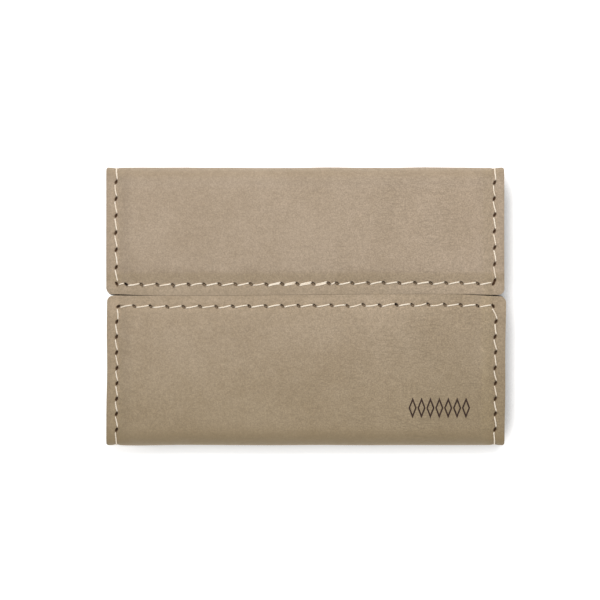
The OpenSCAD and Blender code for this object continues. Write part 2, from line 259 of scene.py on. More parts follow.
class Pouch:
    """One folded leather pouch and its stitching holes. seam_q is the mouth seam's place, pad_q is
    where the pad's full thickness begins, and corner_slits are the slants of the row's two end
    holes. side_x, side_starts and last_holes give the left and the right side seam."""

    def __init__(self, name, mouth_y, fold_y, seam_q, pad_q, last_holes, row_x, side_x, side_steps,
                 side_starts, corner_slits, fold_corner_r, lean, seed):
        self.name, self.seed, self.lean = name, seed, lean
        self.seam_q, self.pad_q, self.mouth_y = seam_q, pad_q, mouth_y
        self.fold_corner_r, self.corner_slits = fold_corner_r, corner_slits
        self.length = abs(fold_y - mouth_y)
        self.towards = 1 if fold_y > mouth_y else -1
        wander = np.random.default_rng(seed)
        rise = self.towards * ROW_RISE
        self.row = [np.array([x, seam_q + rise * (1 + x / HALF_W)]) + wander.normal(0, HOLE_WANDER, 2)
                    for x in row_x]
        self.sides, self.own_holes = {}, []
        for hand, side in enumerate((-1, 1)):
            first, last = seam_q + side_starts[hand], last_holes[hand]
            places = [(side_x[hand], first + (last - first) * i / side_steps)
                      for i in range(side_steps + 1)]
            self.sides[side] = [np.array(place) + wander.normal(0, HOLE_WANDER, 2)
                                for place in places]
            if side_starts[hand] == 0:    # the side shares the mouth seam's end hole
                self.sides[side][0] = self.row[0 if side < 0 else -1]
            self.own_holes += self.sides[side][side_starts[hand] == 0:]

    def slit(self, slant):
        """Direction in x and q of a hole that slants up to the right by so many degrees, seen from
        the front with the lid at the top."""
        angle = math.radians(slant)
        return np.array([math.cos(angle), self.towards * math.sin(angle)])

    def holes(self):
        """Each hole as its place and its slit's direction."""
        found = [(place, self.slit(ROW_SLIT)) for place in self.row[1:-1]]
        found += [(self.row[end], self.slit(slant)) for end, slant in zip((0, -1), self.corner_slits)]
        return found + [(place, self.slit(SIDE_SLIT)) for place in self.own_holes]

    def side_half(self, x):
        """Half the thickness across the width, away from the mouth."""
        return SEAM_HALF + (OUTER_HALF - SEAM_HALF) * ramp(
            -SLOPE_OUT_X, -SLOPE_IN_X, -np.abs(x), 0.3 * MM
        )

    def half(self, x, q):
        """Half the thickness of a face. It is thinner at the mouth, where there is no pad."""
        mouth = MARGIN_HALF + (OUTER_HALF - MARGIN_HALF) * ramp(
            self.seam_q + 0.5 * MM, self.pad_q, q, 0.35 * MM
        )
        return soft_min(self.side_half(x), mouth + 0.02 * MM, 0.25 * MM)

    def edge_x(self, q):
        """Half the width at q, less at the rounded corners."""
        r = MOUTH_CORNER_R
        at_mouth = r - np.sqrt(np.maximum(r**2 - np.maximum(r - q, 0) ** 2, 0))
        r, d = self.fold_corner_r, self.length - q
        at_fold = r - np.sqrt(np.maximum(r**2 - np.clip(r - d, 0, r) ** 2, 0))
        return HALF_W - at_mouth - at_fold

    def edge_distance(self, x, q):
        """Distance in from the cut edge."""
        r = MOUTH_CORNER_R
        from_side = self.edge_x(np.maximum(q, r)) - np.abs(x)
        in_corner = (from_side < r) & (q < r)
        round_distance = r - np.hypot(r - from_side, r - q)
        return np.maximum(np.where(in_corner, round_distance, np.minimum(from_side, q)), 0)

    def to_edge(self, x, q):
        """Draws the outer columns in, so that the last one follows the edge."""
        start = HALF_W - 2 * MM
        pulled = start + (np.abs(x) - start) * (self.edge_x(q) - start) / (HALF_W - start)
        return np.where(np.abs(x) > start, np.sign(x) * pulled, x)

    def flat_q(self, x, value):
        """Places on a face by the border's spacing, drawn in where the fold begins sooner."""
        flat_end, border_end = self.length - self.side_half(x), self.length - SEAM_HALF
        start = self.length - FOLD_REACH
        drawn = start + (value - start) * (flat_end - start) / (border_end - start)
        return np.where(value > start, drawn, value)

    def lay(self, x, q, z):
        """Points at x, q and z, with the sideways lean, the uneven edges and the full lips."""
        near_mouth = smooth(4 * MM, 0, q)
        near_side = smooth(HALF_W - 7 * MM, HALF_W, np.abs(x))
        wave = EDGE_WAVE * ripples(np.sign(x) * 7 * MM, q, 14 * MM, 40 * MM, 4, self.seed)
        in_front = smooth(-1.5 * MM, 1.5 * MM, z)
        ends = smooth(36 * MM, 49 * MM, np.abs(x)) * in_front
        lip = MOUTH_FULL * (1 - ends) - MOUTH_SHORT * ends
        lean = self.lean * (1 + 0.5 * x / HALF_W) * (1 - q / self.length)
        x_out = x + lean + wave * near_side * np.sign(x)
        # In front, the line between the mouths is a slow wave that drops at its right end.
        stray = np.sin(math.pi * (x + 3 * MM) / (62 * MM)) * smooth(50 * MM, 38 * MM, np.abs(x))
        stray = stray - smooth(36 * MM, 50 * MM, x)
        stray = (stray * in_front - 0.5 * (1 - in_front)) * SPLIT_WAVE * smooth(9 * MM, 0, q)
        y = self.mouth_y + self.towards * (q - near_mouth * lip) + stray
        return np.stack(np.broadcast_arrays(x_out, y, MID_Z + z), axis=-1)

    def q_at(self, x, zone, value):
        """The q of places on the surface, those on the fold included."""
        on_fold = self.length - self.side_half(x) * (1 - np.sin(np.where(zone == FOLD, value, 0)))
        return np.where(zone == FOLD, on_fold, value)

    def place(self, x, zone, value, depth):
        """Points at a depth below the surface. value is q on a face and an angle on the fold."""
        radius = self.side_half(x)
        angle = np.where(zone == FOLD, value, 0)
        q = np.where(zone == FOLD, self.length - radius + (radius - depth) * np.sin(angle), value)
        face_z = (self.half(x, q) - depth) * np.where(zone == BACK, -1, 1)
        z = np.where(zone == FOLD, (radius - depth) * np.cos(angle), face_z)
        return self.lay(x, q, z)

    def along(self, x, g):
        """Zone and value at g, the distance round the girth from the front mouth."""
        radius = self.side_half(x)
        flat_end = self.length - radius
        fold_end = flat_end + math.pi * radius
        zone = np.where(g < flat_end, FRONT, np.where(g < fold_end, FOLD, BACK))
        value = np.where(zone == FOLD, (g - flat_end) / radius, g)
        return zone, np.where(zone == BACK, flat_end + fold_end - g, value)

    def relief(self, x, q, zone):
        """How far the leather dips below its even surface: swells, and the pull of the seams."""
        mirrored = np.where(zone == BACK, 0.4, 0)
        swell = SWELL * (1 + ripples(x, q + mirrored, 9 * MM, 30 * MM, 14, self.seed + 1))
        swell *= smooth(HALF_W, HALF_W - 5 * MM, np.abs(x)) * smooth(0, 5 * MM, q)
        row = np.exp(-(((q - self.seam_q) / SEAM_REACH) ** 2)) * (np.abs(x) < SEAM_X)
        side = np.exp(-(((np.abs(x) - SEAM_X) / SEAM_REACH) ** 2)) * (q > self.seam_q)
        last = self.sides[1][-1][1]
        wrapped = 1 + 2.2 * smooth(last + 0.3 * MM, last + 1.8 * MM, q)
        return swell + SEAM_DIP * np.maximum(row, side * wrapped)

    def sewing(self, x, q):
        """Depth of the holes and of the beds that the stitches press, and how far in a hole."""
        depth, pit, around = np.zeros(x.shape), np.zeros(x.shape), 2 * MM
        for place, slit in self.holes():
            near = (np.abs(x - place[0]) < around) & (np.abs(q - place[1]) < around)
            u, v = x[near] - place[0], q[near] - place[1]
            along, across = u * slit[0] + v * slit[1], u * slit[1] - v * slit[0]
            rho = np.sqrt((along / SLIT_HALF) ** 2 + (across / SLIT_WIDE) ** 2)
            inside = smooth(1.25, 0.75, rho)
            dimple = DIMPLE * np.exp(-(u**2 + v**2) / DIMPLE_REACH**2)
            depth[near] = np.maximum(depth[near], SLIT_DEPTH * inside + dimple * (1 - inside))
            pit[near] = np.maximum(pit[near], inside)
        return depth, pit


# The lid's mouth seam starts with one short stitch, and has another where its thread ends.
LID_STITCH, LATER_STITCH = 3.925 * MM, 3.93 * MM
lid_row = [-47.4 * MM]
lid_row += [-45.05 * MM + LID_STITCH * i for i in range(14)]
lid_row += [lid_row[-1] + 1.93 * MM + LATER_STITCH * i for i in range(11)]

# The body's seam is even, but for a drift to the right in its middle.
BODY_STITCHES, BODY_ROW_START, BODY_ROW_WIDTH, BODY_ROW_DRIFT = 23, -47.2 * MM, 94.05 * MM, 0.3 * MM
shares = [i / BODY_STITCHES for i in range(BODY_STITCHES + 1)]
body_row = [BODY_ROW_START + BODY_ROW_WIDTH * share + BODY_ROW_DRIFT * math.sin(math.pi * share) ** 2
            for share in shares]

lid = Pouch(
    "lid", mouth_y=lid_low[1], fold_y=lid_high[1], seam_q=LID_SEAM_Q, pad_q=6.9 * MM,
    last_holes=(LID_LENGTH - 3.7 * MM, LID_LENGTH - 3.9 * MM), row_x=lid_row,
    side_x=(-47.55 * MM, 47.55 * MM), side_steps=6, side_starts=(0, 0.95 * MM),
    corner_slits=(-62, 60), fold_corner_r=0.5 * MM, lean=0.0, seed=11,
)
body = Pouch(
    "body", mouth_y=body_high[1], fold_y=body_low[1], seam_q=BODY_SEAM_Q, pad_q=8.9 * MM,
    last_holes=(BODY_LENGTH - 4.0 * MM, BODY_LENGTH - 4.0 * MM), row_x=body_row,
    side_x=(-47.5 * MM, 47.6 * MM), side_steps=8, side_starts=(0, 0),
    corner_slits=(36, -58), fold_corner_r=0.6 * MM, lean=0.28 * MM, seed=23,
)


def round_the_fold(rows, steps):
    """Zones and values of grid rows that run up the front, round the fold and down the back."""
    fold = np.linspace(0, math.pi, steps)[1:-1]
    zones = np.repeat([FRONT, FOLD, BACK], [len(rows), len(fold), len(rows)])
    return zones, np.concatenate([rows, fold, rows[::-1]])


def pouch_grid(pouch):
    """Columns in x, and rows as zones and values, fine at the holes and the edges."""
    edge = [0, 0.03 * MM, 0.08 * MM, 0.16 * MM, 0.3 * MM]
    fine, coarse, reach = 0.13 * MM, 0.9 * MM, 0.5 * MM
    places = [hole[0] for hole in pouch.row] + [pouch.sides[side][1][0] for side in (-1, 1)]
    inner_half = HALF_W - 0.5 * MM
    inner_cols = lines(-inner_half, inner_half, places, reach, fine, coarse)
    cols = np.concatenate([[-HALF_W + e for e in edge], inner_cols, [HALF_W - e for e in edge[::-1]]])
    places = [pouch.row[0][1], pouch.row[-1][1]] + [hole[1] for hole in pouch.own_holes]
    arc = [MOUTH_CORNER_R * (1 - math.cos(math.pi / 2 * i / 8)) for i in range(1, 8)]
    face_rows = lines(MOUTH_CORNER_R, pouch.length - SEAM_HALF, places, reach, fine, coarse)
    rows = np.unique(np.round(np.concatenate([edge, arc, face_rows]), 6))
    return cols, *round_the_fold(rows, 26)


def spread_out(pouch, cols, zones, values):
    """A grid's x, zone and value at each of its points."""
    x, value, zone = np.broadcast_arrays(cols[None, :], values[:, None], zones[:, None])
    return x, zone, np.where(zone == FOLD, value, pouch.flat_q(x, value))


def pouch_leather(pouch, material):
    """The leather: a dense outer face with real holes, rolled edges and a sparse inner face."""
    cols, zones, values = pouch_grid(pouch)
    x, zone, value = spread_out(pouch, cols, zones, values)
    q = pouch.q_at(x, zone, value)
    x = pouch.to_edge(x, q)
    edge = pouch.edge_distance(x, q)
    roll = EDGE_R - np.sqrt(np.maximum(EDGE_R**2 - np.maximum(EDGE_R - edge, 0) ** 2, 0))
    depth, pit = pouch.sewing(x, q)
    on_face = zone != FOLD
    depth = np.where(on_face, depth, 0) + roll + pouch.relief(x, q, zone)
    # How far in a hole; the material paints shade there.
    pit = np.where(on_face, pit, 0)
    outer = pouch.place(x, zone, value, depth)
    pared = SKIVE * smooth(pouch.pad_q, pouch.seam_q, q)
    pared = pared * smooth(SLOPE_OUT_X, SLOPE_IN_X, np.abs(x))
    inner = pouch.place(x, zone, value, LEATHER_T - pared - roll * 0.8)
    near_corner = (values < MOUTH_CORNER_R) & (zones != FOLD)
    rows_kept = [i for i in range(len(zones))
                 if near_corner[i] or i % 7 == 0 or zones[i] == FOLD and i % 2 or i == len(zones) - 1]
    cols_kept = sorted({*range(0, len(cols), 8), 1, 3, 5, len(cols) - 6, len(cols) - 4,
                        len(cols) - 2, len(cols) - 1})
    worn = smooth(1.6 * MM, 0, edge)
    # How near the fold; the material paints shade there.
    bend = smooth(pouch.length - FOLD_REACH, pouch.length - 0.6 * MM, q)
    return closed_sheet(f"{pouch.name}_leather_panel", outer, inner, EDGE_R, material,
                        rows_kept, cols_kept, {"pit": pit, "worn": worn, "bend": bend})


# ---- thread ----


def twisted_tube(points, normals, radius, phase):
    """Points and faces of a three-ply thread along a path, slightly flattened."""
    sides, turn, taper_run = 15, 2.1 * MM, 0.45 * MM
    steps = np.linalg.norm(np.diff(points, axis=0), axis=1)
    run = np.concatenate([[0], np.cumsum(steps)])
    tangent = unit(np.gradient(points, axis=0))
    across = unit(np.cross(tangent, normals))
    up = np.cross(across, tangent)
    taper = 1 - 0.25 * (smooth(taper_run, 0, run) + smooth(run[-1] - taper_run, run[-1], run))
    angles = 2 * math.pi * np.arange(sides) / sides
    ply = angles[None, :] - 2 * math.pi * run[:, None] / turn - phase
    r = radius * taper[:, None] * (0.88 + 0.12 * np.abs(np.cos(1.5 * ply)))
    ring = (r * np.cos(angles))[:, :, None] * across[:, None, :]
    ring = ring + (0.88 * r * np.sin(angles))[:, :, None] * up[:, None, :]
    tube = points[:, None, :] + ring
    return tube.reshape(-1, 3), ring_faces(np.arange(tube.size // 3).reshape(-1, sides))


class Thread:
    """Collects the stitches of one seam into one mesh."""

    def __init__(self, pouch):
        self.pouch = pouch
        self.points, self.faces, self.count = [], [], 0
        self.random = np.random.default_rng(pouch.seed + 3)

    def add(self, x, zone, value, lift):
        """One stitch through these places on the pouch, at these heights above it."""
        pouch, radius = self.pouch, THREAD_R * self.random.uniform(0.92, 1.1)
        bed = pouch.relief(x, pouch.q_at(x, zone, value), zone)
        points = pouch.place(x, zone, value, bed - lift)
        normals = unit(pouch.place(x, zone, value, bed - lift - MM) - points)
        tube, faces = twisted_tube(points, normals, radius, len(self.points) * 1.7)
        self.faces += [[i + self.count for i in face] for face in faces]
        self.points.append(tube)
        self.count += len(tube)

    def arch(self, from_end):
        """The height of a stitch, which dives into a hole at each end."""
        return -THREAD_END + (THREAD_END + THREAD_LIFT) * smooth(-0.1 * MM, 0.4 * MM, from_end)

    def stitch(self, start, end, zone):
        """A stitch on one face, from hole edge to hole edge, diving into both holes."""
        start, end = np.asarray(start), np.asarray(end)
        length = np.linalg.norm(end - start)
        even = np.linspace(0, 1, 26)
        t = (even + 0.5 - 0.5 * np.cos(math.pi * even)) / 2
        path = start + (end - start) * t[:, None]
        aside = np.array([start[1] - end[1], end[0] - start[0]]) / length
        path = path + aside * (self.random.normal(0, THREAD_BOW) * np.sin(math.pi * t))[:, None]
        lift = self.arch(np.minimum(t, 1 - t) * length)
        self.add(path[:, 0], np.full(len(t), zone), path[:, 1], lift)

    def over_fold(self, start, end, lean):
        """A long stitch from the last front hole, round the fold, to the last back hole. It
        starts beside the hole, to the right for a lean of 1, and runs over its middle."""
        pouch, x_start, x_end = self.pouch, start[0], end[0]
        radius = pouch.side_half(np.array(x_start))
        girth = 2 * (pouch.length - radius) + math.pi * radius
        g = np.linspace(start[1], girth - end[1], 60)
        x = np.linspace(x_start, x_end, 60)
        x = x - 0.75 * SIDE_EXIT[0] * smooth(0, 2.5 * MM, np.minimum(g - g[0], g[-1] - g)) * lean
        zone, value = pouch.along(x, g)
        self.add(x, zone, value, self.arch(np.minimum(g - g[0], g[-1] - g)))

    def finish(self, name, material):
        return mesh_object(name, np.concatenate(self.points), self.faces, material)


ROW_EXIT = (0.50 * MM, -0.28 * MM)  # from a hole's middle to a stitch's end, in x and y
SIDE_EXIT = (0.27 * MM, 0.60 * MM)
DOUBLED = (10, 11, 12, 13)  # stitches of the lid's front seam that are sewn over twice


def mouth_thread(pouch, zone, doubled=()):
    """The seam across one face of a mouth."""
    thread = Thread(pouch)
    slit = np.array([ROW_EXIT[0], pouch.towards * ROW_EXIT[1]])
    for i, (a, b) in enumerate(zip(pouch.row, pouch.row[1:])):
        if i in doubled:
            spread = np.array([0.08 * MM, pouch.towards * 0.17 * MM])
            thread.stitch(a + slit - spread, b - slit - spread * 1.2, zone)
            thread.stitch(a + slit + spread * 0.7, b - slit + spread, zone)
        else:
            thread.stitch(a + slit, b - slit, zone)
    return thread


def side_thread(pouch, side):
    """A side seam: both faces, and the stitch round the fold."""
    thread = Thread(pouch)
    slit = np.array([SIDE_EXIT[0], pouch.towards * SIDE_EXIT[1]])
    up = -1 if pouch.towards > 0 else 1   # q runs up the lid and down the body
    holes = pouch.sides[side]
    for zone in (FRONT, BACK):
        for a, b in zip(holes, holes[1:]):
            thread.stitch(a - up * slit, b + up * slit, zone)
    last = holes[-1] - up * slit
    thread.over_fold(last, last, -up)
    return thread


# ---- the other layers ----


def lining_sheet(pouch, node, name, material):
    """The lining, folded like the leather and lying against it or against the pads."""
    start = abs(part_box(node)[0].y - pouch.mouth_y)
    half_x = HALF_W - LINING_IN
    slope = np.linspace(SLOPE_IN_X, half_x, 14)
    level = np.linspace(-SLOPE_IN_X, SLOPE_IN_X, 30)[1:-1]
    cols = np.concatenate([-slope[::-1], level, slope])
    rows = np.linspace(start, pouch.length - SEAM_HALF, 34)
    x, zone, value = spread_out(pouch, cols, *round_the_fold(rows, 16))
    q = np.where(zone == FOLD, pouch.length, value)
    x = pouch.to_edge(x, np.where(zone == FOLD, pouch.length / 2, value))
    outer = np.maximum(LEATHER_T, pouch.half(x, q) - PAD_INNER_HALF) + LAYER_GAP
    return closed_sheet(name, pouch.place(x, zone, value, outer),
                        pouch.place(x, zone, value, outer + LINING_T - 2 * LAYER_GAP),
                        LAYER_GAP, material)


def felt_pad(pouch, node, name, material):
    """A soft pad under the leather: flat at the back, crowned in front, thin at its edges."""
    low, high = span(node)
    side = 1 if high[2] > MID_Z + MM else -1
    thick = high[2] - low[2]
    back = (low[2] if side > 0 else high[2]) - MID_Z
    q_ends = sorted(abs(y - pouch.mouth_y) for y in (low[1], high[1]))
    ease = (1 - np.cos(np.linspace(0, math.pi, 40))) / 2
    x = low[0] + (high[0] - low[0]) * ease[None, :] + 0 * ease[:, None]
    q = q_ends[0] + (q_ends[1] - q_ends[0]) * ease[:, None] + 0 * x
    edge = np.minimum(np.minimum(x - low[0], high[0] - x), np.minimum(q - q_ends[0], q_ends[1] - q))
    crown_run, unevenness, least = 1.6 * MM, 0.04 * MM, 0.12 * MM
    crown = 0.35 + 0.65 * np.sqrt(1 - (1 - np.clip(edge / crown_run, 0, 1)) ** 2)
    uneven = unevenness * (ripples(x, q, 6 * MM, 20 * MM, 10, pouch.seed + 5) - 1)
    top = np.minimum(thick, pouch.half(x, q) - LEATHER_T - abs(back)) - LAYER_GAP
    height = np.maximum(top * crown, least) + uneven * smooth(0, MM, edge)
    return closed_sheet(name, pouch.lay(x, q, back + side * height), pouch.lay(x, q, back + 0 * x),
                        0.04 * MM, material)


def arc_loop(arcs, inset):
    """An outline of arcs, each (centre x, centre y, radius, first angle, last angle, points) in
    degrees. A negative radius is a hollow. The loop lies inset from the outline."""
    loop = []
    for cx, cy, radius, first, last, count in arcs:
        r = radius - inset if radius > 0 else inset - radius
        for i in range(count):
            angle = math.radians(first + (last - first) * i / (count - 1))
            loop.append((cx + r * math.cos(angle), cy + r * math.sin(angle)))
    return loop


def plate(name, arcs, profile, material):
    """A closed plate with shaped edges. profile gives (inset, z) from one face to the other."""
    points = [(*p, z) for inset, z in profile for p in arc_loop(arcs, inset)]
    ids = np.arange(len(points)).reshape(len(profile), -1)
    return mesh_object(name, points, ring_faces(ids), material)


def rounded(z_low, z_high, r):
    """The profile of a plate with rounded edges."""
    turn = [math.pi / 2 * i / 4 for i in range(5)]
    rise = [(r - r * math.sin(a), z_low + r - r * math.cos(a)) for a in turn]
    return rise + [(inset, z_low + z_high - z) for inset, z in rise[::-1]]


def corners_of(low, high, radii):
    """Four corner arcs of a rectangle: low left, low right, high right, high left."""
    (x0, y0), (x1, y1), (a, b, c, d) = low[:2], high[:2], radii
    return [(x0 + a, y0 + a, a, 180, 270, 7), (x1 - b, y0 + b, b, 270, 360, 7),
            (x1 - c, y1 - c, c, 0, 90, 9), (x0 + d, y1 - d, d, 90, 180, 9)]


def side_strip(pouch, node, name, material):
    """The strip sewn between the two leathers of a side seam. Its far end is round and fills the
    fold, and its outer edge follows the leather's."""
    low, high = span(node)
    side, half = (1 if low[0] > 0 else -1), (high[2] - low[2]) / 2
    near_x = min(abs(low[0]), abs(high[0]))
    bend_q = pouch.length - SEAM_HALF
    corner = MOUTH_CORNER_R * (1 - np.cos(np.linspace(0.3, math.pi / 2, 8)))
    straight = np.linspace(MOUTH_CORNER_R, bend_q, 40)[1:]
    bend = bend_q + half * np.sin(np.linspace(0, math.radians(80), 9))[1:]
    q = np.concatenate([corner, straight, bend])[:, None]
    x = side * np.linspace(near_x, HALF_W - STRIP_IN, 9)[None, :]
    x, q = x + 0 * q, q + 0 * x
    x = pouch.to_edge(x, q)
    tall = half * np.sqrt(1 - (np.maximum(q - bend_q, 0) / half) ** 2)
    return closed_sheet(name, pouch.lay(x, q, tall), pouch.lay(x, q, -tall), 0.03 * MM, material)


NOTCH_R = 9 * MM
NOTCH_FILLET = 1.8 * MM
CREASE_IN = 1.15 * MM  # a creased line, in from the sleeve's edge
CREASE_END = 1.7 * MM  # and where the face within it goes flat


def sleeve_wall(node, name, material):
    """A wall of the card sleeve, with a thumb notch, rounded edges and a creased border."""
    low, high = span(node)
    front = low[2] > MID_Z
    fillet_x = math.sqrt((NOTCH_R + NOTCH_FILLET) ** 2 - NOTCH_FILLET**2)
    tilt = math.degrees(math.atan2(NOTCH_FILLET, fillet_x))
    fillet_y = high[1] - NOTCH_FILLET
    corners = corners_of(low, high, (1.8 * MM, 1.8 * MM, 2 * MM, 2 * MM))
    notch = [(fillet_x, fillet_y, NOTCH_FILLET, 90, 180 - tilt, 9),
             (0, high[1], -NOTCH_R, -tilt, tilt - 180, 33),
             (-fillet_x, fillet_y, NOTCH_FILLET, tilt, 90, 9)]
    arcs = corners[:3] + notch + corners[3:]
    turn = rounded(low[2], high[2], 0.14 * MM)
    crease = [(CREASE_IN - 0.2 * MM, 0), (CREASE_IN - 0.07 * MM, 0.09 * MM), (CREASE_IN, 0.12 * MM),
              (CREASE_IN + 0.07 * MM, 0.09 * MM), (CREASE_IN + 0.2 * MM, 0), (CREASE_END, 0)]
    if front:
        profile = [(CREASE_END, low[2])] + turn + [(i, high[2] - d) for i, d in crease]
    else:
        profile = [(i, low[2] + d) for i, d in crease[::-1]] + turn + [(CREASE_END, high[2])]
    return plate(name, arcs, profile, material)


def print_band(pouch, name, material):
    """A printed row of narrow lozenges, a film of ink on the leather."""
    count, stroke, lift, sink, per_side = 7, 0.38 * MM, 0.02 * MM, 0.03 * MM, 8
    left, right, low, high = 25.7 * MM, 41.3 * MM, -28.1 * MM, -22.8 * MM
    pitch = (right - left) / count
    half_x, half_y = 0.46 * pitch, (high - low) / 2
    share = 1 - stroke / (half_x * math.cos(math.atan2(half_x, half_y)))
    turn = np.arange(4 * per_side) / per_side
    across = np.interp(turn, range(5), (half_x, 0, -half_x, 0, half_x))
    along = np.interp(turn, range(5), (0, half_y, 0, -half_y, 0))
    points, faces = [], []
    for k in range(count):
        ids = len(points) + np.arange(4 * len(turn)).reshape(4, -1)
        faces += grid_faces(np.pad(ids, ((0, 1), (0, 1)), mode="wrap"))
        for scale, height in ((1, -sink), (1, lift), (share, lift), (share, -sink)):
            x = left + pitch * (k + 0.5) + across * scale
            q = ((low + high) / 2 + along * scale - pouch.mouth_y) * pouch.towards
            depth = pouch.relief(x, q, FRONT) - height
            points += pouch.place(x, np.full(len(x), FRONT), q, depth).tolist()
    return mesh_object(name, points, faces, material)


# ---- materials ----


WHITE = (1, 1, 1, 1)


def srgb(r, g, b):
    """A colour given as it looks on a screen, 0 to 255, as linear RGBA."""
    return tuple((v / 255) ** 2.2 for v in (r, g, b)) + (1.0,)


class Shader:
    """A principled material and the nodes that feed it. Texture space is in millimetres."""

    def __init__(self, name, roughness, **fixed):
        self.material = bpy.data.materials.new(name)
        self.material.use_nodes = True
        self.tree = self.material.node_tree
        self.bsdf = next(n for n in self.tree.nodes if n.type == "BSDF_PRINCIPLED")
        self.bsdf.inputs["Roughness"].default_value = roughness
        for socket, value in fixed.items():
            self.bsdf.inputs[socket.replace("_", " ")].default_value = value
        place = self.node("ShaderNodeTexCoord").outputs["Object"]
        self.mm = self.mapped(place, scale=(1000, 1000, 1000))

    def node(self, kind, settings=None, **inputs):
        made = self.tree.nodes.new(kind)
        for key, value in (settings or {}).items():
            setattr(made, key, value)
        for key, value in inputs.items():
            self.feed(made.inputs[key], value)
        return made

    def feed(self, socket, value):
        if isinstance(value, bpy.types.NodeSocket):
            self.tree.links.new(value, socket)
        else:
            socket.default_value = value

    def mapped(self, vector, scale=(1, 1, 1), turn=(0, 0, 0)):
        return self.node("ShaderNodeMapping", Vector=vector, Scale=scale, Rotation=turn).outputs[0]

    def noise(self, per_mm, detail=3.0, rough=0.55, vector=None, distortion=0.0):
        made = self.node("ShaderNodeTexNoise", Vector=vector or self.mm, Scale=per_mm, Detail=detail,
                         Roughness=rough, Distortion=distortion)
        return made.outputs["Fac"]

    def cracks(self, per_mm, vector=None):
        made = self.node("ShaderNodeTexVoronoi", {"feature": "DISTANCE_TO_EDGE"},
                         Vector=vector or self.mm, Scale=per_mm)
        return made.outputs["Distance"]

    def spread(self, value, low, high, to_low=0.0, to_high=1.0):
        """Maps low..high to to_low..to_high, held at the ends."""
        made = self.node("ShaderNodeMapRange", {"interpolation_type": "SMOOTHSTEP"}, Value=value)
        for key, v in (("From Min", low), ("From Max", high), ("To Min", to_low), ("To Max", to_high)):
            made.inputs[key].default_value = v
        return made.outputs[0]

    def math(self, operation, a, b=0.0):
        made = self.node("ShaderNodeMath", {"operation": operation})
        self.feed(made.inputs[0], a)
        self.feed(made.inputs[1], b)
        return made.outputs[0]

    def product(self, a, b):
        return self.math("MULTIPLY", a, b)

    def rest(self, share):
        """What is left of 1 after a share."""
        return self.math("SUBTRACT", 1.0, share)

    def mix(self, share, a, b, blend="MIX"):
        made = self.node("ShaderNodeMix", {"data_type": "RGBA", "blend_type": blend})
        self.feed(made.inputs["Factor"], share)
        self.feed(made.inputs[6], a)
        self.feed(made.inputs[7], b)
        return made.outputs[2]

    def tinted(self, colour, tint):
        return self.mix(1.0, colour, tint, "MULTIPLY")

    def mark(self, name):
        return self.node("ShaderNodeAttribute", {"attribute_name": name}).outputs["Fac"]

    def bump(self, height, distance, strength=1.0, normal=None):
        made = self.node("ShaderNodeBump", Height=height, Distance=distance, Strength=strength)
        if normal is not None:
            self.feed(made.inputs["Normal"], normal)
        return made.outputs[0]

    def finish(self, colour, normal, roughness=None):
        self.feed(self.bsdf.inputs["Base Color"], colour)
        self.feed(self.bsdf.inputs["Normal"], normal)
        if roughness is not None:
            self.feed(self.bsdf.inputs["Roughness"], roughness)
        return self.material


